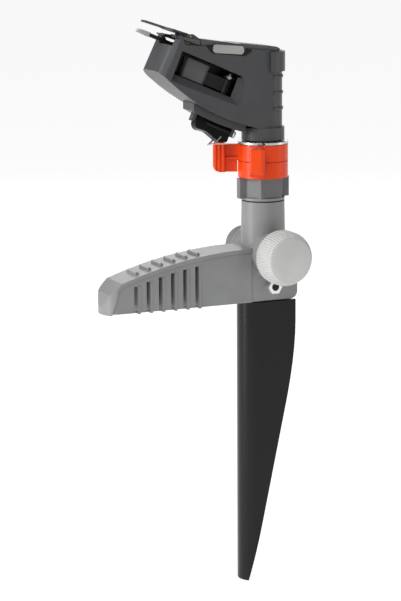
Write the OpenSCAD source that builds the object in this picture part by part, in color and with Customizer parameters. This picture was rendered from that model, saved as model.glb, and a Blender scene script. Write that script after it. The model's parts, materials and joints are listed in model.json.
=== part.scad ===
// Impact sprinkler on a ground spike: water swivel with two sector rings, turning head with a
// hammer drive, foot plate with two hose ports, end cap on the spare port.
// Origin: on the turning axis at the ground line. Foot plate and jet point to -X, hose inlet to +Y.

/* [Foot and spike] */
// Length of the spike below the ground line
spike_len = 197; // [150:1:240]
// Radius of the spike's round front
spike_r = 12.5; // [10:0.5:13]
// How far the spike reaches behind the axis
spike_back = 18.8; // [16:0.2:20]
// Wall of the spike's channel
spike_wall = 2.6; // [2:0.1:4]
// Reach of the foot plate from the axis to its tip
foot_reach = 121.5; // [112:0.5:150]
// Width of the foot plate
foot_w = 27; // [25.5:0.5:32]
// Height of the foot plate beside the riser
foot_h = 38; // [35:0.5:42]
// Wall of the foot plate
foot_wall = 2.4; // [1.8:0.1:3]
// Number of side slots and of anti-slip ridges
slot_count = 6; // [3:1:7]
// Spacing of the slots and ridges
slot_pitch = 8.87; // [7:0.01:9.5]
// Width of a side slot
slot_w = 2.6; // [2:0.1:3.2]
// Thread diameter of the bolt that holds the spike
bolt_d = 5; // [4:0.5:6]

/* [Ports] */
// Height of the hose ports above the ground line
port_z = 33.6; // [31:0.1:35]
// Major diameter of the hose thread, G3/4
thread_d = 26.4; // [24:0.1:27.4]
// Bore of the hose ports
port_bore = 18; // [14:0.5:19]
// End of the inlet port from the axis
inlet_reach = 33; // [31:0.5:42]
// End of the capped port from the axis
outlet_reach = 38.5; // [36:0.5:46]
// Outside diameter of the end cap
cap_d = 37.1; // [34:0.1:42]
// Depth of the end cap
cap_depth = 17.5; // [15:0.5:21]
// Number of grip teeth round the end cap
cap_teeth = 60; // [36:2:72]
// Pitch of the hose thread
thread_pitch = 1.81; // [1:0.01:2.5]

/* [Riser and swivel] */
// Height of the riser's top face
riser_top = 68.8; // [62:0.2:90]
// Outside diameter of the riser at its top
riser_d = 29.3; // [28:0.1:31]
// Width across the flats of the swivel nut
nut_flats = 26; // [24:0.5:27]
// Height of the hexagon
nut_h = 13.4; // [10:0.2:16]
// Outside diameter of the sector rings
ring_d = 34; // [32.5:0.1:36]
// Diameter of the journal that the rings turn on
journal_d = 27.2; // [26:0.1:28]
// Height of each sector ring
ring_h = 11.1; // [9:0.1:13]
// How far a ring's stop lever reaches from the axis
lever_reach = 34; // [31:0.5:38]
// Outside diameter of the spindle tube
spindle_d = 17; // [15:0.1:17.6]
// Water bore of the spindle tube
spindle_bore = 11; // [8:0.1:12]
// Radial clearance of a turning fit
run_fit = 0.06; // [0.03:0.01:0.1]

/* [Head] */
// Distance from the axis to the chin of the head
head_len = 82.7; // [72:0.1:88]
// Width of the head at its front
head_w = 35; // [32:0.5:39]
// Radius of the head's round rear column
column_r = 13; // [12.6:0.1:13.8]
// Wall of the head's moulding
head_wall = 2.2; // [1.6:0.1:2.8]
// Elevation of the water jet
jet_tilt = 23; // [20:0.5:26]
// Outside diameter of the jet tube
jet_d = 9; // [8:0.1:10]
// Bore of the nozzle
nozzle_bore = 4; // [3:0.1:5]
// Swing of the hammer
hammer_swing = 12; // [8:1:13]
// Diameter of the hammer's pin
hammer_pin_d = 3; // [2:0.1:4]
// Width of the jet flap where it is hinged
flap_w = 17; // [14:0.5:18]
// Sideways flip of the trip lever
trip_flip = 26; // [16:1:30]

/* [Hidden] */
$fn = 64;

far = 200;         // longer than any piece, for cuts and profiles
gap = 0.3;         // room between pieces that move past each other
joint_gap = 0.05;  // room between pieces that are fitted together
grey = "#8b8c8d";
dark = "#55565a";
black = "#232425";
orange = "#e8500f";
steel = "#c9cacb";

// ---- outlines ----
function unit(v) = v / norm(v);
function xy(p) = [p[0], p[1]];
// Points of one corner [x, y, radius] between its neighbours
function corner(a, b, c, n) = let (
    u = unit(xy(a) - xy(b)),
    v = unit(xy(c) - xy(b)),
    half = acos(max(-1, min(1, u * v))) / 2,
    o = xy(b) + unit(u + v) * b[2] / sin(half),
    p = xy(b) + u * b[2] / tan(half),
    q = xy(b) + v * b[2] / tan(half),
    a0 = atan2(p[1] - o[1], p[0] - o[0]),
    turn = (atan2(q[1] - o[1], q[0] - o[0]) - a0 + 540) % 360 - 180
) b[2] <= 0 ? [xy(b)] : [for (i = [0:n]) o + b[2] * [cos(a0 + turn * i / n), sin(a0 + turn * i / n)]];
function rounded(pts, n = 5) = [
    for (i = [0:len(pts) - 1])
        each corner(pts[(i + len(pts) - 1) % len(pts)], pts[i], pts[(i + 1) % len(pts)], n)
];
// Points from a to c that bend towards b
function bend(a, b, c, n) = [
    for (i = [0:n]) let (t = i / n) a * pow(1 - t, 2) + b * 2 * t * (1 - t) + c * pow(t, 2)
];

// Draws a profile given in X and Z and gives it a width along Y
module side(w) {
    rotate([90, 0, 0]) linear_extrude(w, center = true) children();
}
module ring(r_out, r_in, h) {
    difference() {
        cylinder(r = r_out, h = h);
        translate([0, 0, -1]) cylinder(r = r_in, h = h + 2);
    }
}
// A cylinder along +Y from y0 to y1
module along_y(r, y0, y1) {
    translate([0, y0, 0]) rotate([-90, 0, 0]) cylinder(r = r, h = y1 - y0);
}

// ---- foot plate, ports and riser: one moulding ----
foot_skin = 0.8;                    // how far the side panels are set in under the lip
lip_h = 2.6;
block_front = -15.5;                // front and rear of the block under the riser
block_back = 20.4;
block_set_in = 1.8;
riser_draft = 1;                    // growth of the riser's radius down to its foot
port_body_r = thread_d / 2 + 1.4;
riser_foot = port_z - port_body_r;  // the riser's foot is level with the underside of the ports
thread_start_in = 21;
thread_start_out = outlet_reach - 14;
socket_r = 12;                      // threaded socket in the riser's top
socket_floor = riser_top - 16;
first_slot = -foot_reach + 22.1;
tip_slope = 12;                     // how far the tip's top stands back from its foot

function foot_top(x) = foot_h - 3.5 * pow((-x - 16) / 37, 2) * (37 / 50);
foot_top_pts = [
    for (i = [0:6]) let (x = block_front - (foot_reach - tip_slope + block_front) * i / 6) [x, foot_top(x)]
];

module foot_side(inset, lift) {
    polygon([
        [block_front + 1, lift], [block_front + 1, foot_h - inset],
        for (p = foot_top_pts) [p[0] + (p[0] < -90 ? inset : 0), p[1] - inset],
        [-foot_reach + 4 + inset, 14], [-foot_reach + inset, lift]
    ]);
}
module foot_plan(inset) {
    w = foot_w / 2 - inset;
    shoulder = -foot_reach + 5 + inset / 2;
    r = 8 - 2 * inset;
    polygon(rounded([[block_front + 1, -w, 0], [block_front + 1, w, 0], [shoulder, w, r],
                     [-foot_reach + inset, 0, 18], [shoulder, -w, r]], 6));
}
module foot_shape(inset, lift) {
    intersection() {
        side(far) foot_side(inset, lift);
        translate([0, 0, -1]) linear_extrude(far) foot_plan(inset);
    }
}
module foot_shell() {
    difference() {
        union() {
            foot_shape(foot_skin, 1);
            difference() {
                foot_shape(0, 0.6);
                translate([0, 0, -lip_h]) side(far) foot_side(0, -far);
            }
            // the lip runs down the tip as a solid rim
            intersection() {
                foot_shape(0, 0);
                side(far) polygon([[-foot_reach - 1, -1], [-foot_reach + 5, -1], [-foot_reach + 16, foot_h],
                                   [-foot_reach - 1, foot_h]]);
            }
        }
        foot_shape(foot_skin + foot_wall, -far);
        for (i = [0:slot_count - 1]) slot(i);
    }
}
function slot_x(i) = first_slot + slot_pitch * i;
function slot_top(x) = foot_top(x) - 6.2;
module slot(i) {
    x = slot_x(i);
    translate([x - slot_w / 2, -far / 2, 1.8]) cube([slot_w, far, slot_top(x) - 1.8]);
}
// One cross rib behind each slot; its edges stand proud of the panels
module foot_ribs() {
    rib_t = 1.8;
    for (i = [0:slot_count - 1]) {
        x = slot_x(i) + slot_w / 2;
        translate([x, -foot_w / 2 + 0.35, 0.2]) cube([rib_t, foot_w - 0.7, slot_top(x) - 0.2]);
    }
    for (x = [-26, -42]) translate([x, -foot_w / 2 + 1.5, 6]) cube([rib_t, foot_w - 3, foot_top(x) - 7.5]);
}
module ridges() {
    ridge_h = 1.8;
    ridge_w = 16.5;
    ridge_t = 3;
    for (i = [0:slot_count - 1]) {
        x = slot_x(i) + 2.9;
        slope = atan(foot_top(x + 1) - foot_top(x));
        translate([x, 0, foot_top(x)]) rotate([0, -slope, 0]) translate([0, 0, -1]) {
            linear_extrude(1 + ridge_h * 0.6) ridge_outline(ridge_t, ridge_w);
            linear_extrude(1 + ridge_h) ridge_outline(ridge_t - 1, ridge_w - 1);
        }
    }
}
module ridge_outline(t, w) {
    polygon(rounded([[-t / 2, -w / 2, t * 0.49], [t / 2, -w / 2, t * 0.49], [t / 2, w / 2, t * 0.49],
                     [-t / 2, w / 2, t * 0.49]], 4));
}
module block() {
    w = foot_w - 2 * block_set_in;
    difference() {
        side(w) polygon(rounded([[block_front, 1.2, 0], [block_back, 1.2, 5], [block_back, 26, 6],
                                 [12, foot_h + 3, 0], [block_front, foot_h, 0]]));
        // pocket for the spike's tang, open below
        translate([tang_x - tang_l / 2 - joint_gap, -tang_w / 2 - joint_gap, -1])
            cube([tang_l + 2 * joint_gap, tang_w + 2 * joint_gap, tang_top + 1 + joint_gap]);
    }
}
module port_tube() {
    translate([0, 0, port_z]) {
        along_y(port_body_r, -thread_start_out, thread_start_in - 3);
        along_y(thread_d / 2, -outlet_reach, inlet_reach);
        along_y(port_body_r + 0.3, thread_start_in - 3, thread_start_in);
    }
}
module base_body() {
    color(grey) difference() {
        union() {
            foot_shell();
            foot_ribs();
            ridges();
            block();
            port_tube();
            translate([0, 0, riser_foot])
                cylinder(r1 = riser_d / 2 + riser_draft, r2 = riser_d / 2, h = riser_top - riser_foot);
        }
        translate([0, 0, port_z]) {
            along_y(port_bore / 2, -outlet_reach - 1, inlet_reach + 1);
            cylinder(r = spindle_d / 2 + 0.7, h = far);
        }
        translate([0, 0, socket_floor]) cylinder(r = socket_r + joint_gap, h = far);
        spike_bolt_hole();
    }
}

// ---- ground spike ----
tang_x = 2;
tang_l = 15;
tang_w = 12;
tang_top = 17;
bolt_z = 10.8;
spike_cx = -6.2;
spike_taper_z = -14;                // where the spike's back starts to slope
spike_tip_x = -15.3;
rib_pitch = 27;

function spike_back_pts(inset) = concat(
    [[spike_back - inset, 1]],
    bend([spike_back - inset, spike_taper_z], [spike_back - inset, spike_taper_z - 26],
         [spike_back - inset - 8.6, -78], 6),
    [[spike_tip_x - inset / 2, -spike_len]]
);
module spike_section(inset) {
    translate([spike_cx, 0]) {
        circle(r = spike_r - inset);
        translate([0, -spike_r + inset]) square([far, 2 * (spike_r - inset)]);
    }
}
module spike_profile(inset) {
    polygon(concat(spike_back_pts(inset), [[-spike_r + spike_cx - 1, -spike_len], [-spike_r + spike_cx - 1, 1]]));
}
module ground_spike() {
    color(black) difference() {
        union() {
            intersection() {
                translate([0, 0, -spike_len]) linear_extrude(spike_len + 0.6) difference() {
                    spike_section(0);
                    spike_section(spike_wall);
                }
                side(far) spike_profile(0);
            }
            // floors across the channel, a spine along it and a closed top
            intersection() {
                union() {
                    for (z = [-rib_pitch:-rib_pitch:-spike_len + 20])
                        translate([0, 0, z]) linear_extrude(2.2) spike_section(spike_wall / 2);
                    translate([-spike_r + spike_cx + 1, -1.1, -spike_len]) cube([far, 2.2, spike_len]);
                    translate([0, 0, -3.4]) linear_extrude(4) spike_section(0.5);
                }
                side(far) spike_profile(2);
            }
            translate([tang_x - tang_l / 2, -tang_w / 2, 0]) cube([tang_l, tang_w, tang_top]);
            // blunt point
            intersection() {
                translate([0, 0, -spike_len]) linear_extrude(12) spike_section(0.4);
                side(far) spike_profile(0.4);
            }
        }
        spike_bolt_hole();
    }
}
module spike_bolt_hole() {
    translate([tang_x, 0, bolt_z]) along_y(bolt_d / 2 + joint_gap, -far / 2, far / 2);
}
nut_af = 1.6 * bolt_d;
module spike_bolt() {
    face = foot_w / 2 - block_set_in;
    color(black) translate([tang_x, 0, bolt_z]) {
        along_y(bolt_d / 2, -face - 0.85 * bolt_d, face + 0.1);
        translate([0, face, 0]) rotate([-90, 0, 0]) cylinder(r = nut_af / 2 / cos(30), h = 0.65 * bolt_d, $fn = 6);
    }
}
module spike_nut() {
    face = foot_w / 2 - block_set_in;
    color("#ecebe8") translate([tang_x, -face, bolt_z]) rotate([90, 0, 0]) difference() {
        cylinder(r = nut_af * 1.12 / 2 / cos(30), h = 0.8 * bolt_d, $fn = 6);
        translate([0, 0, -1]) cylinder(r = bolt_d / 2 + joint_gap, h = bolt_d + 2);
    }
}

// ---- hose inlet filter: a ribbed cup in the inlet ----
module inlet_filter() {
    r = port_bore / 2 - joint_gap;
    wall = 1.1;
    depth = 15;
    color(black) translate([0, inlet_reach, port_z]) rotate([90, 0, 0]) difference() {
        cylinder(r = r, h = depth);
        translate([0, 0, -1]) cylinder(r = r - wall, h = depth);
        for (a = [0:45:179]) rotate([0, 0, a]) translate([-far / 2, -1.5, 4]) cube([far, 3, depth - 7]);
        for (x = [-4.5, 0, 4.5]) translate([x - 1.2, -r * 0.6, -1]) cube([2.4, r * 1.2, depth + 2]);
    }
}

// ---- end cap and its seal ----
cap_back_y = -(outlet_reach + 5.5 - cap_depth);
cap_face_y = cap_back_y - cap_depth;
cap_face_t = 3;
cap_shoulder = 2.8;
seal_t = 2.2;
tooth_h = 0.55;
module tooth_outline(r) {
    polygon([for (i = [0:cap_teeth * 4 - 1]) let (a = i * 90 / cap_teeth)
        (r - tooth_h * (1 - cos(a * cap_teeth)) / 2) * [cos(a), sin(a)]]);
}
module end_cap() {
    color("#d6d6d4") translate([0, cap_back_y, port_z]) rotate([90, 0, 0]) difference() {
        union() {
            linear_extrude(cap_depth - cap_shoulder) tooth_outline(cap_d / 2);
            translate([0, 0, cap_depth - cap_shoulder])
                linear_extrude(cap_shoulder, scale = 0.84) tooth_outline(cap_d / 2);
        }
        translate([0, 0, -1]) cylinder(r = thread_d / 2 + run_fit, h = cap_depth - cap_face_t + 1);
        translate([0, 0, -1]) cylinder(r = thread_d / 2 + 1, h = 2.2);
    }
}
module end_cap_seal() {
    color(black) translate([0, cap_face_y + cap_face_t + gap / 3 + seal_t, port_z]) rotate([90, 0, 0])
        ring(thread_d / 2 - 0.2, port_bore / 2 + 0.6, seal_t);
}

// ---- water swivel on the riser ----
o_ring_h = 0.9;
washer_h = 1.3;
nut_z = riser_top + o_ring_h + washer_h + 0.4;
nut_r = nut_flats / 2 / cos(30);
ring_z = nut_z + nut_h + gap;
journal_top = ring_z + 2 * ring_h + 2 * gap;
clip_h = 1.9;
head_z = journal_top + clip_h + 0.8;
sleeve_r = spindle_d / 2 + 1.6;
sleeve_foot = socket_floor + 6;
wing_r = 18.4;
wing_w = 5;

module riser_o_ring() {
    color(black) translate([0, 0, riser_top]) ring(riser_d / 2 - 0.1, socket_r + 0.1, o_ring_h);
}
module seat_washer() {
    color(grey) translate([0, 0, riser_top + o_ring_h]) ring(riser_d / 2 + 0.1, socket_r + 0.1, washer_h + 0.4);
}
module swivel_nut() {
    color("#98999a") difference() {
        union() {
            translate([0, 0, nut_z]) {
                cylinder(r = nut_r, h = nut_h, $fn = 6);
                // two finger wings
                difference() {
                    translate([-wing_r, -wing_w / 2, -0.4]) cube([2 * wing_r, wing_w, nut_h + 0.4]);
                    translate([0, 0, -1]) cylinder(r = riser_d / 2 + 0.4, h = 1);
                }
            }
            translate([0, 0, sleeve_foot]) cylinder(r = socket_r, h = nut_z - sleeve_foot + 1);
            translate([0, 0, nut_z + nut_h - 1]) cylinder(r = journal_d / 2, h = journal_top + clip_h - nut_z - nut_h + 1);
        }
        translate([0, 0, sleeve_foot - 1]) cylinder(r = sleeve_r + joint_gap, h = far);
        // groove for the retaining ring
        translate([0, 0, journal_top]) ring(far / 4, journal_d / 2 - 0.9, clip_h);
    }
    color("#98999a") translate([0, 0, journal_top - 0.01]) ring(journal_d / 2 - 0.9, sleeve_r + joint_gap, clip_h);
}
module bearing_sleeve() {
    color("#c9a45a") translate([0, 0, sleeve_foot]) {
        ring(sleeve_r, spindle_d / 2 + run_fit, journal_top + clip_h - sleeve_foot);
    }
}
// A sector ring with its stop lever, drawn at angle 0; own_z is where the ring sits in the pair
module sector_ring(z0, other_z, lever_z, lever_h) {
    block_r = lever_reach - 8.5;
    lever_w = 10;
    difference() {
        union() {
            translate([0, 0, z0]) ring(ring_d / 2, journal_d / 2 + run_fit, ring_h);
            // recessed web with a rib at mid height
            translate([ring_d / 2 - 1, -2, lever_z]) cube([block_r - ring_d / 2 + 2, 4, lever_h]);
            translate([ring_d / 2 - 1, -4, lever_z + lever_h / 2 - 0.7]) cube([block_r - ring_d / 2 + 2, 8, 1.4]);
            translate([0, 0, lever_z]) linear_extrude(lever_h)
                polygon(rounded([[block_r, -lever_w / 2, 1], [lever_reach, -lever_w / 2, 2],
                                 [lever_reach, lever_w / 2, 2], [block_r, lever_w / 2, 1]]));
        }
        // clear of the other ring, of the journal and of the grip grooves
        translate([0, 0, other_z - gap]) cylinder(r = ring_d / 2 + 0.5, h = ring_h + 2 * gap);
        for (s = [-1, 1], x = [block_r + 2.6, block_r + 5.4])
            translate([x, s * (lever_w / 2 + 0.25), lever_z - 1]) cylinder(r = 0.8, h = lever_h + 2, $fn = 24);
        // rounded outer foot of the lever
        translate([0, 0, lever_z]) side(far) polygon(concat(
            [[lever_reach + 1, -1], [lever_reach - 6, -1]],
            [for (a = [-90:15:0]) [lever_reach - 5 + 5 * cos(a), 5 + 5 * sin(a)]], [[lever_reach + 1, 5]]));
    }
}
lower_ring_z = ring_z;
upper_ring_z = ring_z + ring_h + gap;
lever_z = ring_z + 3.4;
lever_h = 2 * ring_h + gap - 3.7;
lower_lever_angle = 237;
upper_lever_angle = 155;
module lower_sector_ring() {
    color(orange) rotate([0, 0, lower_lever_angle]) sector_ring(lower_ring_z, upper_ring_z, lever_z, lever_h);
}
module upper_sector_ring() {
    color(orange) rotate([0, 0, upper_lever_angle]) sector_ring(upper_ring_z, lower_ring_z, lever_z, lever_h);
}
module retaining_ring() {
    split = 246;   // direction of the gap in the ring
    color(steel) translate([0, 0, journal_top + 0.1]) difference() {
        ring(ring_d / 2 + 0.2, journal_d / 2 - 0.9 + joint_gap, clip_h - 0.3);
        rotate([0, 0, split]) translate([0, -1, -1]) cube([far, 2, 4]);
    }
}

// ---- spindle: turns with the head ----
spindle_foot = socket_floor + 1.5;
flange_h = 1.4;
module spindle_tube() {
    color("#c9a45a") difference() {
        union() {
            translate([0, 0, spindle_foot]) cylinder(r = spindle_d / 2, h = head_z + 14 - spindle_foot);
            translate([0, 0, spindle_foot]) cylinder(r = sleeve_r - 0.1, h = flange_h);
        }
        translate([0, 0, spindle_foot - 1]) cylinder(r = spindle_bore / 2, h = far);
    }
}
module spindle_washers() {
    count = 3;
    step = (sleeve_foot - spindle_foot - flange_h) / count;
    for (i = [0:count - 1]) color(i == 1 ? black : "#e4dfd2")
        translate([0, 0, spindle_foot + flange_h + i * step + 0.02])
            ring(sleeve_r - 0.1, spindle_d / 2 + joint_gap, step - 0.04);
}
// Loads the swivel between the head and the sleeve
module bearing_spring() {
    color(steel) translate([0, 0, journal_top + clip_h + 0.15]) ring(spindle_d / 2 + 2.2, spindle_d / 2 + 0.4, 0.5 + collar_recess);
}
collar_recess = 4;

// ---- head: X and Z outlines are measured from the collar's foot ----
collar_r = 14.6;
collar_h = 7.6;
belly_r = 150;                      // the underside is one long arc
belly_start = 11;                   // slope of the underside beside the column
belly_x = -4;
belly_c = [belly_x + belly_r * sin(belly_start), collar_h + belly_r * cos(belly_start)];
function belly(a, drop = 0) = belly_c - (belly_r + drop) * [sin(a), cos(a)];
function belly_angle(x, drop = 0) = asin((belly_c[0] - x) / (belly_r + drop));
face_lean = 26;
chin_a = belly_angle(-head_len);
chin = belly(chin_a);
face_top = chin[1] + 24.4;
seam_slope = 5.5;
seam_rear = 60.8;                   // height of the cover's seam above the axis
function seam_z(x) = seam_rear - x * tan(seam_slope);
pivot = [-27, 37.5];                // hammer pivot, X and height
jet_up = 13.4;                      // jet axis above the pivot, measured across the jet
face_x = chin[0] * cos(face_lean) - chin[1] * sin(face_lean);

module head_frame() {
    translate([0, 0, head_z]) children();
}
// Frame of the jet and hammer: -x along the jet, z along the hammer's pin
module jet_frame() {
    head_frame() translate([pivot[0], 0, pivot[1]]) rotate([0, jet_tilt, 0]) children();
}
// A cylinder along the jet from x0 to x1, measured in the jet frame
module along_jet(r1, r2, x0, x1) {
    translate([x0, 0, jet_up]) rotate([0, 90, 0]) cylinder(r1 = r1, r2 = r2, h = x1 - x0);
}
function belly_pts(x0, x1, drop, n) = [
    for (i = [0:n]) let (a = belly_angle(x0, drop) + (belly_angle(x1, drop) - belly_angle(x0, drop)) * i / n)
        belly(a, drop)
];
module head_side(inset) {
    polygon(concat(
        [[far / 4, collar_h + inset]],
        belly_pts(belly_x, -head_len + inset * 1.5, -inset, 10),
        [[chin[0] + (face_top - chin[1]) * tan(face_lean), face_top], [-66.5, face_top - 0.6],
         [-64, seam_z(-64)], [far / 4, seam_z(far / 4)]]));
}
// Seen from above: straight sides that narrow to the round column
module head_plan(inset) {
    taper = (head_w / 2 - column_r) / head_len;
    union() {
        circle(r = column_r - inset);
        polygon([[0, -column_r + inset], [0, column_r - inset],
                 [-far / 2, column_r - inset + taper * far / 2], [-far / 2, -column_r + inset - taper * far / 2]]);
    }
}
// The leaning front face with its rounded corners
module head_front(inset) {
    r = 8.5 - inset;
    w = head_w / 2 - inset;
    rotate([0, face_lean, 0]) translate([0, 0, -far / 2]) linear_extrude(2 * far)
        polygon(rounded([[face_x + inset, -w, r], [far, -w, 0], [far, w, 0], [face_x + inset, w, r]], 7));
}
module head_solid(inset) {
    intersection() {
        side(far) head_side(inset);
        linear_extrude(far / 2) head_plan(inset);
        head_front(inset);
    }
}
window_front = -46.3;
window_rear = 0.8;
window_top = 8.2;
window_sill = -7.4;
// Opening in the near side wall, bevelled towards the rear and the sill
module window() {
    head_frame() jet_local() {
        translate([window_front, -far / 4, window_sill])
            cube([window_rear - window_front, far / 4, window_top - window_sill]);
        hull() {
            translate([0, -column_r + 2.2, 0]) side(0.01)
                polygon([[window_front, window_top], [window_rear, window_top], [window_rear, window_sill],
                         [window_front, window_sill]]);
            translate([0, -column_r - 6, 0]) side(0.01)
                polygon([[window_front, window_top], [4.5, window_top + 0.4], [9.5, 4], [17, -10],
                         [14, -15.4], [window_front, -14.4]]);
        }
    }
}
module jet_local() {
    translate([pivot[0], 0, pivot[1]]) rotate([0, jet_tilt, 0]) children();
}
module head_housing() {
    color(dark) {
        difference() {
            union() {
                head_frame() difference() {
                    head_solid(0);
                    // hollow in front of the column, open above
                    intersection() {
                        head_solid(head_wall);
                        side(far) polygon([[-14.5, 0], [-14.5, far], [-far, far], [-far, 0]]);
                    }
                    translate([-14.5 - 60, -far / 2, seam_rear + 12]) cube([60 - 42, far, far]);
                }
                // sill and rear jamb thicken the near wall inside
                head_frame() intersection() {
                    head_solid(head_wall / 2);
                    jet_local() difference() {
                        translate([window_front - 4, -far / 2, -22]) cube([66, far / 2 - column_r + 2.6, 29]);
                        translate([window_front - 1, -far, window_sill]) cube([window_rear - window_front + 1, 2 * far, far]);
                    }
                }
                // post for the hammer's pin
                head_frame() intersection() {
                    head_solid(0);
                    jet_local() translate([0, 0, -30]) cylinder(r = 4, h = 30 + window_sill - 0.9);
                }
                head_frame() translate([0, 0, 0]) cylinder(r = collar_r, h = collar_h + 1);
                head_frame() grip_rings();
            }
            window();
            // notch in the front wall for the jet and the hammer's tip
            jet_frame() translate([-70, -head_w / 2 + 3.3, 9]) cube([24, head_w / 2 + 1, far]);
            // channel for the elbow, open above
            head_frame() translate([0, 0, -1]) cylinder(r = spindle_d / 2 + joint_gap, h = 15);
            head_frame() translate([0, 0, 14]) cylinder(r = elbow_r + joint_gap, h = far);
            jet_frame() {
                along_jet(jet_d / 2 + 0.25, jet_d / 2 + 0.25, -20, 24);
                translate([-20, -jet_d / 2 - 0.25, jet_up]) cube([44, jet_d + 0.5, far]);
                translate([0, 0, -16]) cylinder(r = hammer_pin_d / 2 + joint_gap, h = 30);
            }
            head_frame() badge_space(0.05);
            // recess that holds the bearing spring
            head_frame() translate([0, 0, -1]) cylinder(r = spindle_d / 2 + 2.6, h = 1 + collar_recess);
            housing_screw_places() cylinder(r = 1.25, h = 9, center = true, $fn = 24);
        }
    }
}
// Three low rings round the back of the column
module grip_rings() {
    for (z = [20.5, 31.2, 42]) intersection() {
        translate([0, 0, z]) ring(column_r + 0.7, column_r - 1, 1.6);
        translate([2, -far / 2, 0]) cube([far, far, far]);
    }
}
elbow_r = 8.6;

// ---- top cover ----
cover_front = -56.3;
cover_back = 11.5;
cover_in = 1.4;       // how far the cover's edge stands in from the side walls
module cover_side(lift) {
    polygon(rounded([
        [cover_front, seam_z(cover_front) + lift, 0], [cover_front, 70.9, 0.8], [-24, 66.0, 0], [-22, 66.2, 0],
        [5, 62.9, 3], [cover_back + 3, 59.2, 0], [cover_back + 3, seam_z(cover_back + 3) + lift - 4, 0],
        [cover_back, seam_z(cover_back) + lift, 0]], 4));
}
module head_cover() {
    ear_w = 2.6;
    color("#77797b") head_frame() difference() {
        union() {
            intersection() {
                side(far) cover_side(0.05);
                linear_extrude(far / 2) head_plan(cover_in);
                // bevelled long edges
                rotate([0, seam_slope, 0]) translate([0, 0, seam_rear]) rotate([90, 0, 90])
                    linear_extrude(far, center = true)
                        polygon([[-17, -far / 4], [17, -far / 4], [17, 0.6], [12, 4.5], [0, 6.6], [-12, 4.5],
                                 [-17, 0.6]]);
            }
            // ears that carry the flap's pin
            for (y = [-1, 1] * (flap_w / 2 + gap + ear_w / 2)) translate([0, y, 0]) side(ear_w)
                polygon(rounded([[flap_pin_at[0] - 2, flap_pin_at[1] - 2, 1.2], [cover_front + 5, flap_pin_at[1] - 3.6, 0],
                                 [cover_front + 5, flap_pin_at[1] - 1.6, 0], [flap_pin_at[0] + 1.5, flap_pin_at[1] + 1.7, 1],
                                 [flap_pin_at[0] - 2, flap_pin_at[1] + 1.7, 1.2]], 4));
        }
        jet_local() along_jet(jet_d / 2 + 0.35, jet_d / 2 + 0.35, -60, 24);
        // room for the flap's knuckle
        translate([cover_front - 1, -flap_w / 2 - gap, 50]) cube([2.8, flap_w + 2 * gap, far]);
        flap_pin_axis() cylinder(r = flap_pin_d / 2 + joint_gap, h = far, center = true, $fn = 32);
        rear_cap_space(0.05);
        badge_space(0.05);
        housing_screw_places(false) cylinder(r = 1.25, h = 12, center = true, $fn = 24);
    }
}

// ---- rear cap over the top of the column ----
rear_cap_r = 15;
rear_cap_foot = 46.2;
module rear_cap_space(room) {
    translate([0, 0, rear_cap_foot - room]) intersection() {
        cylinder(r = rear_cap_r + room, h = 14 + room);
        translate([-1 - room, -far / 2, -1]) cube([far, far, far]);
    }
}
module rear_cap() {
    color("#68696c") head_frame() difference() {
        intersection() {
            rear_cap_space(0);
            side(far) polygon([[-5, 0], [far, 0], [far, seam_z(0) - 1.6], [-5, seam_z(0) - 1.2]]);
        }
        translate([0, 0, -1]) linear_extrude(far) head_plan(-joint_gap);
    }
}

// ---- badge on the near side: black surround and blank plate ----
module badge_outline() {
    polygon(rounded([[-49.5, 66.2, 1], [-44.5, 60.8, 2], [-20, 57.9, 2], [-12.5, 61.6, 1]], 4));
}
module badge_space(room) {
    intersection() {
        side(far) badge_outline();
        translate([0, 0, 50]) linear_extrude(20) difference() {
            head_plan(-1);
            head_plan(2.2 + room);
        }
        translate([-far / 2, -far, 0]) cube([far, far, far]);
    }
}
module badge_surround() {
    color(black) head_frame() difference() {
        intersection() {
            side(far) badge_outline();
            translate([0, 0, 50]) linear_extrude(20) difference() {
                head_plan(-0.5);
                head_plan(2.2);
            }
            translate([-far / 2, -far, 0]) cube([far, far, far]);
        }
        badge_pill(0.03);
    }
}
module badge_pill(room) {
    intersection() {
        side(far) translate([-32.5, 62.6]) rotate(-seam_slope) polygon(rounded([
            [-11.6 - room, -2.7 - room, 2.4], [11.6 + room, -2.7 - room, 2.4], [11.6 + room, 2.9 + room, 2.4],
            [-11.6 - room, 2.9 + room, 2.4]], 6));
        translate([0, 0, 50]) linear_extrude(20) difference() {
            head_plan(-0.9);
            head_plan(0.2 + room);
        }
        translate([-far / 2, -far, 0]) cube([far, far, far]);
    }
}
module badge_plate() {
    color("#e3e2df") head_frame() badge_pill(0);
}

// ---- water way of the head ----
elbow_top = pivot[1] + (jet_up - (0 - pivot[0]) * sin(jet_tilt)) / cos(jet_tilt);
tube_end = -30;
module jet_tube() {
    color("#3a3b3d") difference() {
        union() {
            head_frame() translate([0, 0, 14.05]) cylinder(r = elbow_r, h = elbow_top - 14);
            head_frame() translate([0, 0, elbow_top]) sphere(elbow_r);
            jet_frame() along_jet(jet_d / 2, jet_d / 2, tube_end, 24);
        }
        head_frame() translate([0, 0, 0]) cylinder(r = spindle_bore / 2, h = elbow_top);
        head_frame() translate([0, 0, elbow_top]) sphere(spindle_bore / 2);
        jet_frame() along_jet(jet_d / 2 - 1.3, jet_d / 2 - 1.3, tube_end - 1, 23);
    }
}
nozzle_tip = -39.8;
module nozzle() {
    color("#c9a45a") jet_frame() difference() {
        union() {
            along_jet(3.4, jet_d / 2, nozzle_tip, nozzle_tip + 6);
            along_jet(jet_d / 2, jet_d / 2, nozzle_tip + 6, tube_end - joint_gap);
            along_jet(jet_d / 2 - 1.35, jet_d / 2 - 1.35, tube_end - 1, tube_end + 6);
        }
        along_jet(nozzle_bore / 2, nozzle_bore / 2, nozzle_tip - 1, tube_end + 7);
    }
}

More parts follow.
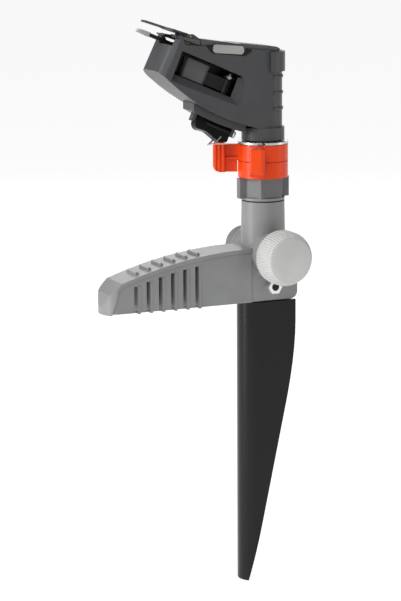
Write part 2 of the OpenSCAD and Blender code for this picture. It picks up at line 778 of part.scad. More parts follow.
// ---- screws that hold the cover ----
module housing_screw_places(with_rear = true) {
    head_frame_if(with_rear) for (x = [-46, -17], y = [-9.6, 9.6]) translate([x, y, seam_z(x) + 1.5]) children();
}
module head_frame_if(on) {
    translate([0, 0, on ? head_z : 0]) children();
}
module housing_screws() {
    color(steel) housing_screw_places() {
        translate([0, 0, -5.2]) cylinder(r = 1.2, h = 6, $fn = 24);
    }
}

// ---- hammer ----
boss_r = 4.6;
hammer_half = 6.6;
module hammer_pin() {
    color(steel) jet_frame() translate([0, 0, -15.9]) cylinder(r = hammer_pin_d / 2, h = 15.9 + 8.2);
}
module hammer_spring() {
    color(steel) jet_frame() translate([0, 0, hammer_half - 2.9]) ring(4.2, hammer_pin_d / 2 + 0.5, 2.6);
}
module hammer_arm() {
    color(black) jet_frame() difference() {
        union() {
            translate([0, 0, -hammer_half]) cylinder(r = boss_r, h = 2 * hammer_half - 3.2);
            // arm from the boss to the weight
            translate([-37, -3, -hammer_half + 1]) cube([36, 6, 9]);
            // neck that lifts the tip into the jet
            side(4.4) polygon([[-36, -5], [-36, 8], [-41, 8.2], [-46, 12.2], [-66, 12.2], [-66, 9.8],
                                [-48, 9.8], [-43, 4], [-40, -5]]);
        }
        translate([0, 0, -far / 2]) cylinder(r = hammer_pin_d / 2 + run_fit, h = far);
    }
}
module hammer_weight() {
    color("#5f6164") jet_frame() difference() {
        translate([0, 0, -hammer_half]) linear_extrude(2 * hammer_half)
            polygon(rounded([[-37, -8, 1.5], [-17.5, -8, 7], [-17.5, 3.4, 1], [-37, 3.4, 1]], 7));
        translate([-38, -3 - joint_gap, -hammer_half + 1 - joint_gap]) cube([22, 6 + 2 * joint_gap, 9 + 2 * joint_gap]);
        translate([-38, -2.2 - joint_gap, -5 - joint_gap]) cube([3, 4.4 + 2 * joint_gap, far]);
    }
}
module hammer_tip() {
    color("#a9aaab") jet_frame() side(5) polygon([[-66.05, 9.4], [-66.05, 12.6], [-73.6, 12.2], [-74.4, 9.8]]);
}

// ---- jet flap ----
flap_pin_d = 1.6;
flap_pin_at = [-57.6, 71.6];
flap_slope = 18.5;
module flap_pin_axis() {
    translate([flap_pin_at[0], 0, flap_pin_at[1]]) rotate([90, 0, 0]) children();
}
module flap_pin() {
    color(steel) head_frame() flap_pin_axis() cylinder(r = flap_pin_d / 2, h = flap_w + 4, center = true);
}
module jet_flap() {
    thick = 1.4;
    len = 31.5;
    tongue_w = 6.5;
    color("#4b4c4e") head_frame() translate([flap_pin_at[0], 0, flap_pin_at[1]]) rotate([0, flap_slope, 0]) difference() {
        union() {
            rotate([90, 0, 0]) cylinder(r = flap_pin_d / 2 + 0.8, h = flap_w, center = true, $fn = 32);
            translate([0, 0, 0.2]) linear_extrude(thick) polygon([
                [0, -flap_w / 2], [-13, -flap_w / 2], [-17, -tongue_w / 2], [-len, -tongue_w / 2],
                [-len, tongue_w / 2], [-17, tongue_w / 2], [-13, flap_w / 2], [0, flap_w / 2]]);
        }
        rotate([90, 0, 0]) cylinder(r = flap_pin_d / 2 + run_fit, h = far, center = true, $fn = 32);
    }
}

// ---- trip gear under the head ----
trip_pin_d = 2;
trip_at = [-37, 10.6];              // middle of the trip lever's pin
belly_tilt = 24;
trip_front = -15;
trip_rear = 12.5;
module trip_frame() {
    head_frame() translate([trip_at[0], 0, trip_at[1]]) rotate([0, belly_tilt, 0]) children();
}
module along_trip(r, x0, x1) {
    translate([x0, 0, 0]) rotate([0, 90, 0]) cylinder(r = r, h = x1 - x0, $fn = 48);
}
module trip_bracket() {
    color("#66676a") difference() {
        union() {
            head_frame() intersection() {
                side(18) polygon(concat(belly_pts(-17, -55, 0.05, 6), belly_pts(-55, -17, 4.6, 6)));
                translate([0, 0, -5]) linear_extrude(far) polygon([[-17, -9], [-17, 9], [-56, 9], [-56, -9]]);
            }
            // ears that carry the trip pin
            trip_frame() for (x = [trip_front - 2.4, trip_rear + 0.3]) translate([x, -2.6, -2.4]) cube([2.2, 5.2, 7.5]);
        }
        trip_frame() along_trip(trip_pin_d / 2 + joint_gap, -far / 2, far / 2);
        // room for the lever to flip
        trip_frame() along_trip(4.1, trip_front - 0.2, trip_rear + 0.3);
    }
}
module trip_pin() {
    color(steel) trip_frame() along_trip(trip_pin_d / 2, trip_front - 2.4, trip_rear + 2.5);
}
module trip_lever() {
    rest = -trip_flip / 2;
    color(black) trip_frame() rotate([rest, 0, 0]) difference() {
        union() {
            along_trip(2.9, trip_front, trip_rear);
            side(5) polygon(rounded([[trip_front + 0.2, 0, 1], [trip_rear, 0, 1], [trip_rear - 0.5, -7.5, 2],
                                     [trip_rear - 6, -9.5, 2], [-5, -6, 4], [trip_front + 0.2, -7, 3]], 5));
            translate([trip_front + 4.2, 0, -2.4]) rotate([90, 0, 0]) cylinder(r = 4.3, h = 6, center = true);
        }
        along_trip(trip_pin_d / 2 + run_fit, -far / 2, far / 2);
        bail_axis() cylinder(r = bail_d / 2 + run_fit, h = far, center = true, $fn = 32);
    }
}
module trip_spring() {
    color(steel) trip_frame() along_trip_ring();
}
module along_trip_ring() {
    translate([trip_rear + 3, 0, 0]) rotate([0, 90, 0]) ring(2.4, trip_pin_d / 2 + 0.2, 1.6);
}
// Wire bail that the sector levers push; it folds up for full-circle work
bail_d = 1.1;
bail_at = [5.5, -6.3];
module bail_axis() {
    translate([bail_at[0], 0, bail_at[1]]) rotate([90, 0, 0]) children();
}
module trip_bail() {
    reach = 7;
    drop = 119;   // from straight down the pin's axis
    rest = -trip_flip / 2;
    color(steel) trip_frame() rotate([rest, 0, 0]) {
        bail_axis() cylinder(r = bail_d / 2, h = 8 + bail_d, center = true, $fn = 24);
        translate([bail_at[0], 0, bail_at[1]]) rotate([0, 90 + drop, 0]) {
            for (s = [-1, 1]) translate([0, 4 * s, 0]) cylinder(r = bail_d / 2 - 0.01, h = reach, $fn = 24);
            translate([0, 0, reach - 0.3]) rotate([90, 0, 0])
                cylinder(r = bail_d / 2 - 0.02, h = 8 + bail_d, center = true, $fn = 24);
        }
    }
}

base_body();
ground_spike();
spike_bolt();
spike_nut();
inlet_filter();
end_cap();
end_cap_seal();
riser_o_ring();
seat_washer();
swivel_nut();
bearing_sleeve();
lower_sector_ring();
upper_sector_ring();
retaining_ring();
spindle_tube();
spindle_washers();
bearing_spring();
head_housing();
head_cover();
rear_cap();
badge_surround();
badge_plate();
jet_tube();
nozzle();
housing_screws();
hammer_pin();
hammer_spring();
hammer_arm();
hammer_tip();
hammer_weight();
flap_pin();
jet_flap();
trip_bracket();
trip_pin();
trip_lever();
trip_spring();
trip_bail();
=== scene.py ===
import bpy
import bmesh
import json
import math
from mathutils import Matrix, Vector


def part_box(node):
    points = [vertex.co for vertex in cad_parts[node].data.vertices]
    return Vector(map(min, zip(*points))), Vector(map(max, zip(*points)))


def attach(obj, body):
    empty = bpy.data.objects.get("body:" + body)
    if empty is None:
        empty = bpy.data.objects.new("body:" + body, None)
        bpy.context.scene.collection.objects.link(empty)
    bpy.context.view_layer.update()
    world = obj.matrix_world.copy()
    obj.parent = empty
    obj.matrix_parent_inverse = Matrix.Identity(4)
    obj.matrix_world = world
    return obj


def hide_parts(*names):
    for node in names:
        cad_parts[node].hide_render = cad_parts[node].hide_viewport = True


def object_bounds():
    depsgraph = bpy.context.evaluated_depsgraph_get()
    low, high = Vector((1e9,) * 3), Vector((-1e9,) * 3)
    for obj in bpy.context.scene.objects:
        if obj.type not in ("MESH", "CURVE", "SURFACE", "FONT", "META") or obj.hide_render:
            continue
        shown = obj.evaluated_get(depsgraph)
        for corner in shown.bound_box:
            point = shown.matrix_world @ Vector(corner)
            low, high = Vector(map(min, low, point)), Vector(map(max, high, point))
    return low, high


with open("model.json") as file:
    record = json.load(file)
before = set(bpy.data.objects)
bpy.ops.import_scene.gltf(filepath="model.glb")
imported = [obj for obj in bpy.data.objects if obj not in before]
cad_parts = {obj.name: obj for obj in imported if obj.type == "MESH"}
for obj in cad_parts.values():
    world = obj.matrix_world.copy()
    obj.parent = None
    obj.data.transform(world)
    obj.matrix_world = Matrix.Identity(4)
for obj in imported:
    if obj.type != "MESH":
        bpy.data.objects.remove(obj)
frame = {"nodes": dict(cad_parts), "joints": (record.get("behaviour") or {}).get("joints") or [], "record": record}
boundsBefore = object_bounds()
print("frame loaded")


class Signal:
    # wraps one shader socket so that it takes plain arithmetic
    def __init__(self, tree, socket=None):
        self.tree = tree
        self.socket = socket

    def make(self, kind, settings=None, inputs=None, output=0):
        made = self.tree.nodes.new(kind)
        for name, value in (settings or {}).items():
            setattr(made, name, value)
        for name, value in (inputs or {}).items():
            if isinstance(value, Signal):
                self.tree.links.new(value.socket, made.inputs[name])
            else:
                made.inputs[name].default_value = value
        return Signal(self.tree, made.outputs[output])

    def math(self, operation, *values):
        return self.make("ShaderNodeMath", {"operation": operation}, dict(enumerate(values)))

    def vector(self, operation, *values, output=0):
        return self.make("ShaderNodeVectorMath", {"operation": operation}, dict(enumerate(values)), output)

    def __add__(self, other):
        return self.math("ADD", self, other)

    def __radd__(self, other):
        return self.math("ADD", other, self)

    def __sub__(self, other):
        return self.math("SUBTRACT", self, other)

    def __rsub__(self, other):
        return self.math("SUBTRACT", other, self)

    def __mul__(self, other):
        return self.math("MULTIPLY", self, other)

    def __rmul__(self, other):
        return self.math("MULTIPLY", other, self)

    def step(self, low, high):
        inputs = {"Value": self, "From Min": low, "From Max": high}
        return self.make("ShaderNodeMapRange", {"interpolation_type": "SMOOTHSTEP"}, inputs)

    def mix(self, first, second):
        # mixes two colours, this signal being the share of the second
        return self.make("ShaderNodeMix", {"data_type": "RGBA"}, {0: self, 6: first, 7: second}, 2)

    def noise(self, place, size, detail=3.0, stretch=(1, 1, 1)):
        scaled = self.vector("MULTIPLY", place, tuple(s / size for s in stretch))
        return self.make("ShaderNodeTexNoise", None, {"Vector": scaled, "Scale": 1.0, "Detail": detail})


def shade(colour, factor):
    return tuple(min(1.0, c * factor) for c in colour[:3]) + (1.0,)


def newMaterial(name):
    material = bpy.data.materials.new(name)
    material.use_nodes = True
    tree = material.node_tree
    shader = tree.nodes["Principled BSDF"]
    return material, tree, shader


def edgeMask(signal, radius, low, high):
    # 1 on sharp edges, 0 on flats
    soft = signal.make("ShaderNodeBevel", {"samples": 6}, {"Radius": radius})
    true = signal.make("ShaderNodeNewGeometry", output="True Normal")
    flat = signal.vector("DOT_PRODUCT", soft, true, output="Value")
    return (1.0 - flat).step(low, high), soft


def mouldedPlastic(name, settings):
    material, tree, shader = newMaterial(name)
    signal = Signal(tree)
    place = signal.make("ShaderNodeTexCoord", output="Object")
    edges, soft = edgeMask(signal, settings["edgeRadius"], 0.01, 0.22)
    patch = signal.noise(place, settings["patchSize"], 4.0)
    grain = signal.noise(place, settings["grainSize"], 2.0)
    flow = signal.noise(place, settings["flowSize"], 3.0, (1, 1, 0.35))
    wearBreak = signal.noise(place, 0.004, 5.0).step(0.42, 0.72)
    worn = edges * wearBreak * settings["wear"]
    base = patch.step(0.3, 0.7).mix(shade(settings["colour"], 0.94), shade(settings["colour"], 1.05))
    tinted = worn.mix(base, shade(settings["colour"], settings["wornLift"]))
    rough = settings["roughness"] + (patch - 0.5) * settings["roughSpread"] + (grain - 0.5) * 0.06
    rough = rough + worn * 0.12
    height = grain * settings["grainDepth"] + flow * settings["flowDepth"]
    bumpInputs = {"Strength": 1.0, "Distance": 1.0, "Height": height, "Normal": soft}
    bump = signal.make("ShaderNodeBump", None, bumpInputs)
    tree.links.new(tinted.socket, shader.inputs["Base Color"])
    tree.links.new(rough.socket, shader.inputs["Roughness"])
    tree.links.new(bump.socket, shader.inputs["Normal"])
    shader.inputs["IOR"].default_value = settings.get("ior", 1.5)
    shader.inputs["Specular IOR Level"].default_value = settings.get("specular", 0.5)
    return material


def workedMetal(name, settings):
    material, tree, shader = newMaterial(name)
    signal = Signal(tree)
    place = signal.make("ShaderNodeTexCoord", output="Object")
    edges, soft = edgeMask(signal, settings["edgeRadius"], 0.01, 0.2)
    brush = signal.noise(place, settings["brushSize"], 2.0, settings["brushStretch"])
    cloud = signal.noise(place, settings["cloudSize"], 4.0)
    stain = cloud.step(0.48, 0.75) * settings["stain"]
    base = stain.mix(shade(settings["colour"], 1.0), shade(settings["stainColour"], 1.0))
    tinted = (edges * 0.5).mix(base, shade(settings["colour"], 1.15))
    rough = settings["roughness"] + (brush - 0.5) * settings["roughSpread"] + stain * 0.2
    height = brush * settings["brushDepth"]
    bumpInputs = {"Strength": 1.0, "Distance": 1.0, "Height": height, "Normal": soft}
    bump = signal.make("ShaderNodeBump", None, bumpInputs)
    shader.inputs["Metallic"].default_value = settings["metallic"]
    tree.links.new(tinted.socket, shader.inputs["Base Color"])
    tree.links.new(rough.socket, shader.inputs["Roughness"])
    tree.links.new(bump.socket, shader.inputs["Normal"])
    return material


plasticCommon = {
    "edgeRadius": 0.0005, "patchSize": 0.018, "grainSize": 0.0007, "grainDepth": 0.00001, "flowSize": 0.03,
    "flowDepth": 0.00009, "wear": 0.5, "wornLift": 1.3, "roughSpread": 0.12, "specular": 0.24,
}
plastics = {
    "grey_plastic": {
        "colour": (0.235, 0.237, 0.24), "roughness": 0.38, "grainDepth": 0.000012, "specular": 0.4,
    },
    "dark_plastic": {
        "colour": (0.06, 0.061, 0.064), "roughness": 0.36, "grainDepth": 0.000014, "wornLift": 1.7,
    },
    "cover_plastic": {"colour": (0.085, 0.087, 0.09), "roughness": 0.36, "grainDepth": 0.000012},
    "black_plastic": {"colour": (0.006, 0.006, 0.007), "roughness": 0.27, "wornLift": 2.4},
    "orange_plastic": {
        "colour": (0.74, 0.052, 0.001), "roughness": 0.30, "grainDepth": 0.000006, "wornLift": 1.1,
    },
    "cap_plastic": {"colour": (0.52, 0.52, 0.51), "roughness": 0.42, "wornLift": 1.05},
    "badge_white": {
        "colour": (0.33, 0.33, 0.325), "roughness": 0.25, "grainDepth": 0.000004, "wornLift": 0.9,
    },
    "rubber": {"colour": (0.012, 0.012, 0.013), "roughness": 0.62, "wornLift": 1.8},
    "washer_plastic": {
        "colour": (0.72, 0.69, 0.6), "roughness": 0.38, "grainDepth": 0.000005, "wornLift": 0.9,
    },
    "tip_plastic": {"colour": (0.34, 0.34, 0.35), "roughness": 0.42},
}
metalCommon = {
    "metallic": 1.0, "edgeRadius": 0.0003, "brushSize": 0.0006, "brushStretch": (1, 1, 0.15),
    "brushDepth": 0.000006, "cloudSize": 0.009, "roughSpread": 0.22,
}
metals = {
    "steel": {
        "colour": (0.56, 0.57, 0.58), "roughness": 0.28, "stainColour": (0.4, 0.38, 0.36), "stain": 0.4,
    },
    "zinc": {
        "colour": (0.86, 0.86, 0.84), "roughness": 0.3, "stainColour": (0.66, 0.65, 0.6), "stain": 0.5,
        "metallic": 0.75,
    },
    "brass": {
        "colour": (0.62, 0.43, 0.16), "roughness": 0.3, "stainColour": (0.36, 0.24, 0.1), "stain": 0.5,
    },
}
materials = {}
for slotName, settings in plastics.items():
    materials[slotName] = mouldedPlastic(slotName, {**plasticCommon, **settings})
for slotName, settings in metals.items():
    materials[slotName] = workedMetal(slotName, {**metalCommon, **settings})
nodeSlots = {entry["node"]: entry["material_slot"] for entry in frame["record"]["subparts"]}
# finishes of single nodes that differ from their slot's
nutSettings = {"colour": (0.16, 0.162, 0.165), "roughness": 0.38, "grainDepth": 0.000012}
weightSettings = {"colour": (0.1, 0.1, 0.103), "roughness": 0.4}
flapSettings = {"colour": (0.06, 0.062, 0.065), "roughness": 0.32, "wornLift": 1.6}
ownFinishes = {
    "swivel_nut": mouldedPlastic("nutPlastic", {**plasticCommon, **nutSettings}),
    "hammer_weight": mouldedPlastic("weightPlastic", {**plasticCommon, **weightSettings}),
    "jet_flap": mouldedPlastic("flapFinish", {**plasticCommon, **flapSettings}),
    "trip_bracket": materials["dark_plastic"],
}
for nodeName, node in frame["nodes"].items():
    for place in node.material_slots:
        place.material = ownFinishes.get(nodeName, materials[nodeSlots[nodeName]])
print("materials made")


def finishPiece(name, bm, slotName, body, smooth=True):
    # turns a finished bmesh into a piece at the origin that rides on its body
    bmesh.ops.remove_doubles(bm, verts=bm.verts, dist=0.000002)
    bmesh.ops.recalc_face_normals(bm, faces=bm.faces)
    mesh = bpy.data.meshes.new(name)
    bm.to_mesh(mesh)
    bm.free()
    for face in mesh.polygons:
        face.use_smooth = smooth
    mesh.materials.append(materials[slotName])
    piece = bpy.data.objects.new(name, mesh)
    bpy.context.scene.collection.objects.link(piece)
    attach(piece, body)
    return piece


def middle(nodeName):
    low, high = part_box(nodeName)
    return (low + high) / 2


def jointAxis(jointName):
    for joint in frame["joints"]:
        if joint["name"] == jointName:
            return Vector(joint["axis"])


def turnedTo(axis, place):
    # matrix that puts local Z on an axis through a place
    return Matrix.Translation(place) @ Vector((0, 0, 1)).rotation_difference(axis).to_matrix().to_4x4()


def addCoil(bm, where, settings):
    # a round wire wound into a helix whose axis is local Z
    wire = settings["wire"] / 2
    turns = settings["turns"]
    radius = settings["outer"] - wire
    rise = settings["height"] - 2 * wire
    stepsPerTurn = settings.get("stepsPerTurn", 28)
    steps = int(stepsPerTurn * turns)
    start = Matrix.Translation((radius, 0, -rise / 2)) @ Matrix.Rotation(math.pi / 2, 4, "X")
    made = bmesh.ops.create_circle(bm, cap_ends=True, segments=10, radius=wire, matrix=start)
    faces = list({face for vert in made["verts"] for face in vert.link_faces})
    geometry = made["verts"] + list({edge for vert in made["verts"] for edge in vert.link_edges}) + faces
    bmesh.ops.spin(bm, geom=geometry, cent=(0, 0, 0), axis=(0, 0, 1), dvec=(0, 0, rise / steps),
                   angle=2 * math.pi * turns, steps=steps)
    bmesh.ops.transform(bm, matrix=where, verts=bm.verts)


hammerSpringSettings = {"wire": 0.00055, "turns": 4.2, "outer": 0.0042, "height": 0.0026}
bm = bmesh.new()
hammerAxis = jointAxis("hammer_swing")
springPlace = turnedTo(hammerAxis, middle("hammer_spring"))
addCoil(bm, springPlace, hammerSpringSettings)
hammerSpring = finishPiece("hammerSpring", bm, "steel", "head")
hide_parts("hammer_spring")

bearingLow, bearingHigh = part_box("bearing_spring")
bearingSpringSettings = {
    "wire": 0.0009, "turns": 3.5,
    "outer": (bearingHigh.x - bearingLow.x) / 2, "height": bearingHigh.z - bearingLow.z,
}
bm = bmesh.new()
addCoil(bm, Matrix.Translation(middle("bearing_spring")), bearingSpringSettings)
bearingSpring = finishPiece("bearingSpring", bm, "steel", "head")
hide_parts("bearing_spring")

tripSpringSettings = {"wire": 0.0004, "turns": 3.2, "outer": 0.0024, "height": 0.0016}
bm = bmesh.new()
addCoil(bm, turnedTo(jointAxis("trip_flip"), middle("trip_spring")), tripSpringSettings)
tripSpring = finishPiece("tripSpring", bm, "steel", "head")
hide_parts("trip_spring")
print("springs made")

# the inlet filter: a ribbed cage that carries a fine screen
filterSettings = {
    "rimWidth": 0.0014, "wall": 0.0011, "ribs": 8, "ribWidth": 0.0013, "floorBore": 0.5, "hubBore": 0.08,
    "hubRadius": 0.2, "softEdge": 0.00012, "screenInset": 0.0012, "screenWire": 0.00016,
    "screenAround": 72, "screenAlong": 18,
}
filterLow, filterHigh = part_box("inlet_filter")
filterRadius = (filterHigh.x - filterLow.x) / 2
filterMiddle = middle("inlet_filter")
filterDepth = filterHigh.y - filterLow.y


def addRing(bm, low, high, inner, outer, segments=48):
    # a closed ring of rectangular section about the inlet's axis
    made = bmesh.ops.create_circle(bm, cap_ends=False, segments=4, radius=1)
    corners = [(inner, low), (outer, low), (outer, high), (inner, high)]
    for vert, corner in zip(made["verts"], corners):
        vert.co = Vector((filterMiddle.x + corner[0], corner[1], filterMiddle.z))
    geometry = made["verts"] + list({edge for vert in made["verts"] for edge in vert.link_edges})
    bmesh.ops.spin(bm, geom=geometry, cent=filterMiddle, axis=(0, 1, 0), angle=2 * math.pi,
                   steps=segments, use_merge=True)


bm = bmesh.new()
rimWidth = filterSettings["rimWidth"]
wall = filterSettings["wall"]
ribWidth = filterSettings["ribWidth"]
hubRadius = filterRadius * filterSettings["hubRadius"]
addRing(bm, filterHigh.y - rimWidth, filterHigh.y, filterRadius - wall, filterRadius)
addRing(bm, filterLow.y, filterLow.y + rimWidth, filterRadius * filterSettings["floorBore"], filterRadius)
hubBore = filterRadius * filterSettings["hubBore"]
addRing(bm, filterLow.y, filterLow.y + rimWidth * 0.8, hubBore, hubRadius, 24)
for index in range(filterSettings["ribs"]):
    angle = 2 * math.pi * (index + 0.5) / filterSettings["ribs"]
    outward = Vector((math.cos(angle), 0, math.sin(angle)))
    turn = Matrix.Rotation(-angle, 4, "Y")
    ribPlace = Matrix.Translation(filterMiddle + outward * (filterRadius - wall * 0.55))
    ribSize = Matrix.Diagonal((wall * 0.9, filterDepth * 0.98, ribWidth, 1))
    bmesh.ops.create_cube(bm, size=1, matrix=ribPlace @ turn @ ribSize)
    spoke = filterMiddle + outward * filterRadius * 0.36
    spoke.y = filterLow.y + rimWidth * 0.4
    spokeSize = Matrix.Diagonal((filterRadius * 0.4, rimWidth * 0.7, ribWidth * 0.8, 1))
    bmesh.ops.create_cube(bm, size=1, matrix=Matrix.Translation(spoke) @ turn @ spokeSize)
cage = finishPiece("filterCage", bm, "black_plastic", "root", smooth=False)
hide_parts("inlet_filter")
bevel = cage.modifiers.new("softEdges", "BEVEL")
bevel.width = filterSettings["softEdge"]
bevel.segments = 2
bevel.limit_method = "ANGLE"

bm = bmesh.new()
screenWhere = Matrix.Translation(filterMiddle) @ Matrix.Rotation(math.pi / 2, 4, "X")
screenRadius = filterRadius - filterSettings["screenInset"]
bmesh.ops.create_cone(bm, cap_ends=False, segments=filterSettings["screenAround"], radius1=screenRadius,
                      radius2=screenRadius, depth=filterDepth * 0.96, matrix=screenWhere)
longEdges = [edge for edge in bm.edges if edge.calc_length() > filterDepth * 0.5]
bmesh.ops.subdivide_edges(bm, edges=longEdges, cuts=filterSettings["screenAlong"], use_grid_fill=True)
screen = finishPiece("filterScreen", bm, "steel", "root")
wires = screen.modifiers.new("wires", "WIREFRAME")
wires.thickness = filterSettings["screenWire"]
wires.use_replace = True
print("filter made")

# end cap: a toothed rim and shoulder about a smooth, slightly proud disc
capSettings = {
    "teeth": 60, "stepsPerTooth": 6, "toothDepth": 0.0006, "shoulder": 0.0062, "discRadius": 0.0149,
    "discProud": 0.0005, "bore": 0.01326, "mouth": 0.0142, "mouthDepth": 0.0022, "faceThickness": 0.0029,
    "sharpAngle": 38,
}


def addLoops(bm, where, stations, segments, teeth=0):
    # bridges loops about local Z: (height, radius, tooth depth); both ends are capped
    last = None
    for index, (height, radius, depth) in enumerate(stations):
        isEnd = index in (0, len(stations) - 1)
        made = bmesh.ops.create_circle(bm, cap_ends=isEnd, segments=segments, radius=radius)
        for vert in made["verts"]:
            angle = math.atan2(vert.co.y, vert.co.x)
            reach = radius - depth * (1 - math.cos(teeth * angle)) / 2
            vert.co = where @ Vector((reach * math.cos(angle), reach * math.sin(angle), height))
        edges = list({edge for vert in made["verts"] for edge in vert.link_edges})
        if last:
            bmesh.ops.bridge_loops(bm, edges=last + edges)
        last = edges


capLow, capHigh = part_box("end_cap")
capMiddle = middle("end_cap")
capRadius = (capHigh.z - capLow.z) / 2
capDepth = capHigh.y - capLow.y
tooth = capSettings["toothDepth"]
flank = capDepth - capSettings["shoulder"]
floorOfCap = capDepth - capSettings["faceThickness"]
rim = capDepth - capSettings["discProud"]
bore = capSettings["bore"]
mouth = capSettings["mouth"]
mouthDepth = capSettings["mouthDepth"]
disc = capSettings["discRadius"]
capStations = [
    (floorOfCap, bore, 0), (mouthDepth, bore, 0), (mouthDepth, mouth, 0), (0, mouth + 0.0001, 0),
    (0, capRadius - 0.0009, tooth * 0.4), (0.0004, capRadius - 0.0002, tooth), (0.0009, capRadius, tooth),
    (flank - 0.0012, capRadius, tooth), (flank, capRadius - 0.0003, tooth),
    (flank + 0.002, capRadius - 0.0011, tooth), (rim - 0.0004, disc + 0.0009, tooth * 0.9),
    (rim, disc + 0.0005, tooth * 0.6), (rim, disc, 0),
    (capDepth - 0.00015, disc - 0.00005, 0), (capDepth, disc - 0.0003, 0),
]
bm = bmesh.new()
capTurn = Matrix.Rotation(math.pi / 2, 4, "X")
capWhere = Matrix.Translation((capMiddle.x, capHigh.y, capMiddle.z)) @ capTurn
capSegments = capSettings["teeth"] * capSettings["stepsPerTooth"]
addLoops(bm, capWhere, capStations, capSegments, capSettings["teeth"])
toothedCap = finishPiece("toothedCap", bm, "cap_plastic", "cap")
toothedCap.data.set_sharp_from_angle(angle=math.radians(capSettings["sharpAngle"]))
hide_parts("end_cap")
print("end cap made")

# inlet thread: crests wound on the plain sleeve that carries the hose union
threadSettings = {
    "wire": 0.0009, "outer": 0.0136, "height": 0.0112, "turns": 6.2, "stepsPerTurn": 72, "endGap": 0.0009,
}
bm = bmesh.new()
threadY = filterHigh.y - threadSettings["height"] / 2 - threadSettings["endGap"]
threadPlace = Vector((filterMiddle.x, threadY, filterMiddle.z))
addCoil(bm, Matrix.Translation(threadPlace) @ Matrix.Rotation(-math.pi / 2, 4, "X"), threadSettings)
inletThread = finishPiece("inletThread", bm, "grey_plastic", "root")
print("thread made")

# cover cheeks: two plates that lie on the side walls, from the cover's ears to the front edge
cheekSettings = {
    "front": -0.0708, "rear": -0.0530, "inner": 0.0089, "edge": 0.0004,
    "frontHeights": (0.18275, 0.18405), "rearHeights": (0.1764, 0.1806), "rootHalf": 0.0125,
    "taper": 0.0544, "edgeSegments": 3,
}
bm = bmesh.new()
for side in (-1, 1):
    cheek = bmesh.ops.create_cube(bm, size=2)
    for vert in cheek["verts"]:
        isFront = vert.co.x < 0
        heights = cheekSettings["frontHeights"] if isFront else cheekSettings["rearHeights"]
        x = cheekSettings["front"] if isFront else cheekSettings["rear"]
        z = heights[1] if vert.co.z > 0 else heights[0]
        outer = cheekSettings["rootHalf"] - x * cheekSettings["taper"]
        vert.co = Vector((x, side * (outer if vert.co.y > 0 else cheekSettings["inner"]), z))
    cheekEdges = list({edge for vert in cheek["verts"] for edge in vert.link_edges})
    bmesh.ops.bevel(bm, geom=cheekEdges, offset=cheekSettings["edge"], offset_type="OFFSET", affect="EDGES",
                    segments=cheekSettings["edgeSegments"], profile=0.5, material=-1)
coverCheeks = finishPiece("coverCheeks", bm, "cover_plastic", "head")
print("cheeks made")

# studio: a pale floor, a pale world and five soft lights
studioSettings = {
    "floorDrop": 0.0015, "floorSize": 30, "floorColour": 0.35, "floorRoughness": 0.9, "floorGlow": 0.86,
    "worldStrength": 0.2,
}
floorHeight = boundsBefore[0][2] - studioSettings["floorDrop"]
floorMesh = bpy.data.meshes.new("floor")
floorBm = bmesh.new()
bmesh.ops.create_grid(floorBm, x_segments=1, y_segments=1, size=studioSettings["floorSize"])
bmesh.ops.translate(floorBm, verts=floorBm.verts, vec=(0, 0, floorHeight))
floorBm.to_mesh(floorMesh)
floorBm.free()
floor = bpy.data.objects.new("floor", floorMesh)
bpy.context.scene.collection.objects.link(floor)
floorMaterial, floorTree, floorShader = newMaterial("floor")
floorShader.inputs["Base Color"].default_value = (studioSettings["floorColour"],) * 3 + (1,)
floorShader.inputs["Roughness"].default_value = studioSettings["floorRoughness"]
floorShader.inputs["Emission Color"].default_value = (1, 1, 1, 1)
floorShader.inputs["Emission Strength"].default_value = studioSettings["floorGlow"]
floorMesh.materials.append(floorMaterial)

world = bpy.data.worlds.new("studio")
bpy.context.scene.world = world
world.use_nodes = True
sky = world.node_tree.nodes["Background"]
sky.inputs["Color"].default_value = (1, 1, 1, 1)
sky.inputs["Strength"].default_value = studioSettings["worldStrength"]


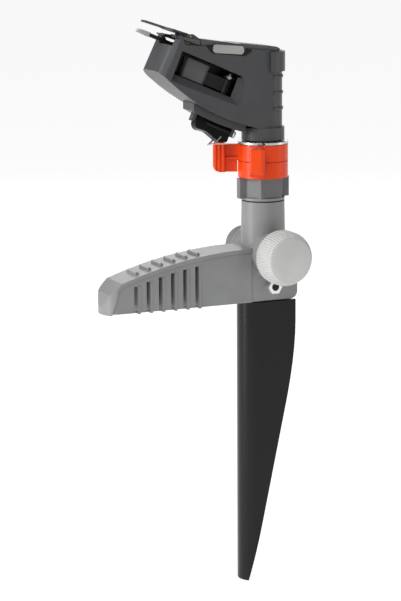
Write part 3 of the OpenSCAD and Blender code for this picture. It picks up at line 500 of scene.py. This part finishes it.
def softbox(name, planAngle, elevation, distance, size, power):
    # an area light that faces the origin from a plan angle and an elevation in degrees
    a = math.radians(planAngle)
    e = math.radians(elevation)
    back = Vector((math.cos(a) * math.cos(e), math.sin(a) * math.cos(e), math.sin(e)))
    light = bpy.data.lights.new(name, "AREA")
    light.shape = "RECTANGLE"
    light.size = size[0]
    light.size_y = size[1]
    light.energy = power
    lamp = bpy.data.objects.new(name, light)
    lamp.location = back * distance
    lamp.rotation_euler = back.to_track_quat("Z", "Y").to_euler()
    bpy.context.scene.collection.objects.link(lamp)


softbox("left", 176, 9, 1.4, (0.3, 1.5), 17)
softbox("key", 226, 40, 1.7, (0.8, 0.8), 9)
softbox("right", 330, 14, 1.7, (0.3, 1.3), 3)
softbox("rear", 70, 30, 1.8, (0.9, 0.9), 7)
softbox("top", 190, 76, 1.6, (1.2, 1.2), 8)
bpy.context.scene.view_settings.view_transform = "Standard"

cameraSettings = {
    "azimuth": -24.06, "elevation": 10.884, "distance": 1.572, "lens": 137.1, "roll": 0.006,
    "shiftRight": -0.04296, "shiftUp": -0.000742,
}
azimuth = math.radians(cameraSettings["azimuth"])
elevation = math.radians(cameraSettings["elevation"])
right = Vector((math.cos(azimuth), math.sin(azimuth), 0))
level = math.cos(elevation)
back = Vector((math.sin(azimuth) * level, -math.cos(azimuth) * level, math.sin(elevation)))
up = back.cross(right)
roll = cameraSettings["roll"]
eyeX = right * math.cos(roll) - up * math.sin(roll)
eyeY = right * math.sin(roll) + up * math.cos(roll)
aim = right * cameraSettings["shiftRight"] + up * cameraSettings["shiftUp"]
eye = back * cameraSettings["distance"] + aim
cameraData = bpy.data.cameras.new("camera")
cameraData.lens = cameraSettings["lens"]
cameraData.sensor_width = 36
camera = bpy.data.objects.new("camera", cameraData)
turned = Matrix((eyeX, eyeY, back)).transposed().to_4x4()
camera.matrix_world = Matrix.Translation(eye) @ turned
bpy.context.scene.collection.objects.link(camera)
bpy.context.scene.camera = camera
print("studio and camera set")
